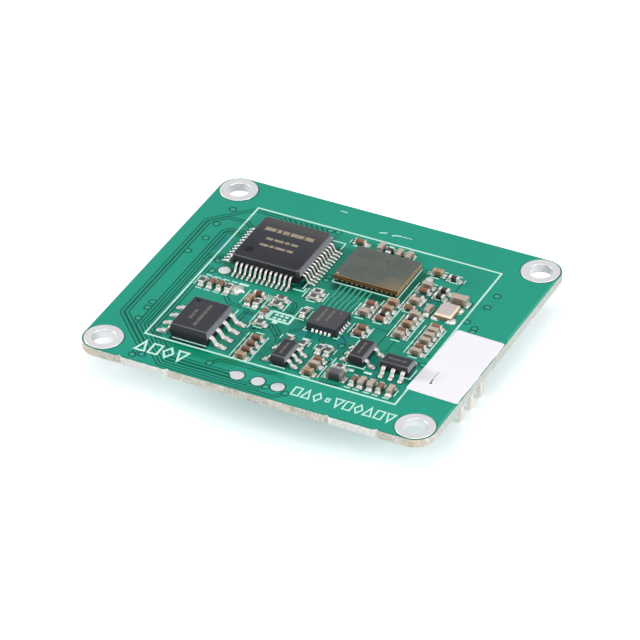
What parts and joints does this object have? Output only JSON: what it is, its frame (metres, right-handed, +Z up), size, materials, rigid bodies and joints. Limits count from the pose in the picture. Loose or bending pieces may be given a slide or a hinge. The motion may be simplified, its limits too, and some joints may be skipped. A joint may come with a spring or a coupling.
{
  "type": "microwave radar sensor module",
  "caption": "Small green circuit board with a radar chip, a square microcontroller and other chips, corner screw holes and pin headers underneath.",
  "frame": {"origin": "on the plane that the pin tips stand on, under the middle of the board", "axes": "+X along the board's long side towards the label, +Y towards the back edge behind the microcontroller, +Z up out of the component side"},
  "size_m": [0.035, 0.03, 0.0075],
  "materials": {
    "solder_mask": "satin green solder mask over fibreglass",
    "tin": "bright tin plating",
    "moulding": "fine matt black moulding compound",
    "laminate": "satin olive grey laminate",
    "lid_metal": "plated lid",
    "tan_ceramic": "satin",
    "brown_ceramic": "satin",
    "black_ceramic": "satin",
    "paper": "matt white sticker",
    "pin_metal": "tinned",
    "header_plastic": "matt"
  },
  "bodies": {
    "root": {"circuit_board": "solder_mask", "hole_rim_front_left": "tin", "hole_rim_front_right": "tin", "hole_rim_back_left": "tin", "hole_rim_back_right": "tin", "microcontroller": "moulding", "radar_chip": "laminate", "flash_chip": "moulding", "power_chip": "moulding", "regulator_1": "moulding", "regulator_2": "moulding", "regulator_3": "moulding", "crystal": "lid_metal", "tan_capacitor_1": "tan_ceramic", "tan_capacitor_2": "tan_ceramic", "tan_capacitor_3": "tan_ceramic", "tan_capacitor_4": "tan_ceramic", "tan_capacitor_5": "tan_ceramic", "tan_capacitor_6": "tan_ceramic", "tan_capacitor_7": "tan_ceramic", "tan_capacitor_8": "tan_ceramic", "tan_capacitor_9": "tan_ceramic", "tan_capacitor_10": "tan_ceramic", "tan_capacitor_11": "tan_ceramic", "tan_capacitor_12": "tan_ceramic", "tan_capacitor_13": "tan_ceramic", "tan_capacitor_14": "tan_ceramic", "tan_capacitor_15": "tan_ceramic", "tan_capacitor_16": "tan_ceramic", "tan_capacitor_17": "tan_ceramic", "tan_capacitor_18": "tan_ceramic", "tan_capacitor_19": "tan_ceramic", "tan_capacitor_20": "tan_ceramic", "tan_capacitor_21": "tan_ceramic", "tan_capacitor_22": "tan_ceramic", "tan_capacitor_23": "tan_ceramic", "tan_capacitor_24": "tan_ceramic", "round_capacitor_1": "brown_ceramic", "large_capacitor_1": "tan_ceramic", "ferrite_bead_1": "black_ceramic", "inductor_1": "black_ceramic", "inductor_2": "black_ceramic", "inductor_3": "black_ceramic", "inductor_4": "black_ceramic", "inductor_5": "black_ceramic", "inductor_6": "black_ceramic", "label": "paper", "right_header_base": "header_plastic", "right_header_pin_1": "pin_metal", "right_header_pin_2": "pin_metal", "right_header_pin_3": "pin_metal", "left_header_base": "header_plastic", "left_header_pin_1": "pin_metal", "left_header_pin_2": "pin_metal", "left_header_pin_3": "pin_metal", "left_header_pin_4": "pin_metal", "left_header_pin_5": "pin_metal", "left_header_pin_6": "pin_metal"}
  },
  "joints": []
}
